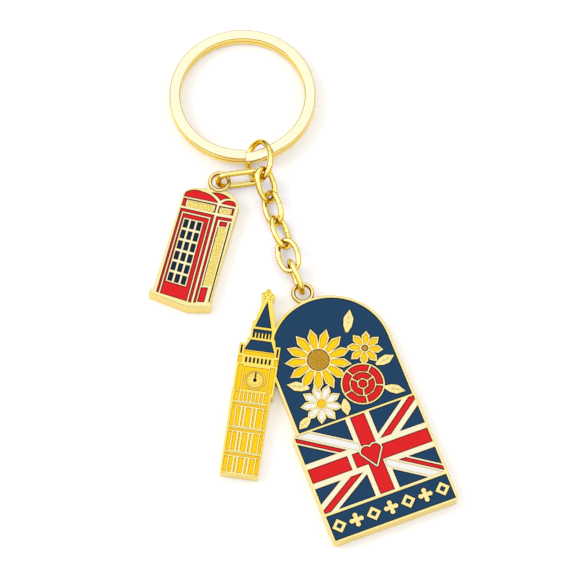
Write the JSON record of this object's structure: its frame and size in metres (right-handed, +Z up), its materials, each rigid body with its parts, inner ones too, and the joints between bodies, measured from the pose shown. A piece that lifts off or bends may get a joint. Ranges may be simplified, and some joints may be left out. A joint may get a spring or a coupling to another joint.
{
  "type": "souvenir keychain",
  "caption": "Keychain with a split ring, a short chain of wire links, an enamelled flag plaque with a clock tower and flowers, and an enamelled telephone box charm.",
  "frame": {"origin": "centre of the split ring, at half its thickness", "axes": "+Z up out of the enamelled faces, +Y from the chain towards the ring, +X to the right of the chain seen from above"},
  "size_m": [0.0614, 0.1109, 0.0064],
  "materials": {
    "ring_gold": "polished gold plate",
    "link_gold": "polished gold plate",
    "casting_gold": "polished gold plate",
    "navy_enamel": "glossy enamel",
    "red_enamel": "glossy enamel",
    "white_enamel": "glossy enamel",
    "glitter_enamel": "glossy enamel with fine glitter",
    "yellow_enamel": "glossy enamel",
    "brown_enamel": "glossy enamel",
    "black_enamel": "glossy enamel",
    "dial_enamel": "glossy pale gold enamel"
  },
  "bodies": {
    "split_ring": {"split_ring": "ring_gold"},
    "key_link": {"key_link": "link_gold"},
    "phone_box_link": {"phone_box_link": "link_gold"},
    "chain_link_1": {"chain_link_1": "link_gold"},
    "chain_link_2": {"chain_link_2": "link_gold"},
    "chain_link_3": {"chain_link_3": "link_gold"},
    "chain_link_4": {"chain_link_4": "link_gold"},
    "plaque_link": {"plaque_link": "link_gold"},
    "plaque": {"plaque_casting": "casting_gold", "arch_navy_enamel": "navy_enamel", "flag_navy_enamel": "navy_enamel", "flag_red_enamel": "red_enamel", "flag_white_enamel": "white_enamel", "heart_red_enamel": "red_enamel", "band_navy_enamel": "navy_enamel", "flower_yellow_enamel": "yellow_enamel", "flower_brown_enamel": "brown_enamel", "flower_white_glitter": "glitter_enamel", "rose_red_enamel": "red_enamel", "tower_yellow_enamel": "yellow_enamel", "tower_navy_enamel": "navy_enamel", "tower_black_enamel": "black_enamel", "clock_dial_enamel": "dial_enamel", "clock_hands": "black_enamel"},
    "phone_box": {"phone_box_casting": "casting_gold", "phone_box_red_enamel": "red_enamel", "phone_box_window_enamel": "navy_enamel", "phone_box_black_enamel": "black_enamel"}
  },
  "joints": [
    {"name": "key_link_round_ring", "type": "hinge", "parent": "split_ring", "child": "key_link", "pos_m": [0, 0, 0], "axis": [0, 0.0554, 0.9985], "continuous": true},
    {"name": "chain_link_1_hang", "type": "hinge", "parent": "key_link", "child": "chain_link_1", "pos_m": [0.00445, -0.01895, 0.00221], "axis": [0.6364, 0.3368, 0.694], "range_deg": [-18, 12]},
    {"name": "phone_box_link_hang", "type": "hinge", "parent": "key_link", "child": "phone_box_link", "pos_m": [0.00233, -0.01819, -0.0001], "axis": [0.4781, -0.7089, 0.5185], "range_deg": [-10, 40]},
    {"name": "chain_link_2_hang", "type": "hinge", "parent": "chain_link_1", "child": "chain_link_2", "pos_m": [0.00578, -0.0234, 0.00025], "axis": [0.7169, 0.4485, -0.5338], "range_deg": [-45, 15]},
    {"name": "chain_link_3_hang", "type": "hinge", "parent": "chain_link_2", "child": "chain_link_3", "pos_m": [0.00724, -0.02828, 0.00025], "axis": [0.635, 0.1893, 0.749], "range_deg": [-45, 45]},
    {"name": "chain_link_4_hang", "type": "hinge", "parent": "chain_link_3", "child": "chain_link_4", "pos_m": [0.00879, -0.03349, 0.00025], "axis": [0.6536, 0.1948, -0.7314], "range_deg": [-45, 45]},
    {"name": "plaque_link_hang", "type": "hinge", "parent": "chain_link_4", "child": "plaque_link", "pos_m": [0.01033, -0.03866, 0.00058], "axis": [0.8747, 0.2855, 0.3916], "range_deg": [-18, 14]},
    {"name": "plaque_swing", "type": "hinge", "parent": "plaque_link", "child": "plaque", "pos_m": [0.01228, -0.04346, -0.00003], "axis": [0, 0, 1], "range_deg": [-30, 60]},
    {"name": "phone_box_swing", "type": "hinge", "parent": "phone_box_link", "child": "phone_box", "pos_m": [-0.00461, -0.0192, -0.00003], "axis": [0, 0, -1], "range_deg": [-20, 60]}
  ]
}
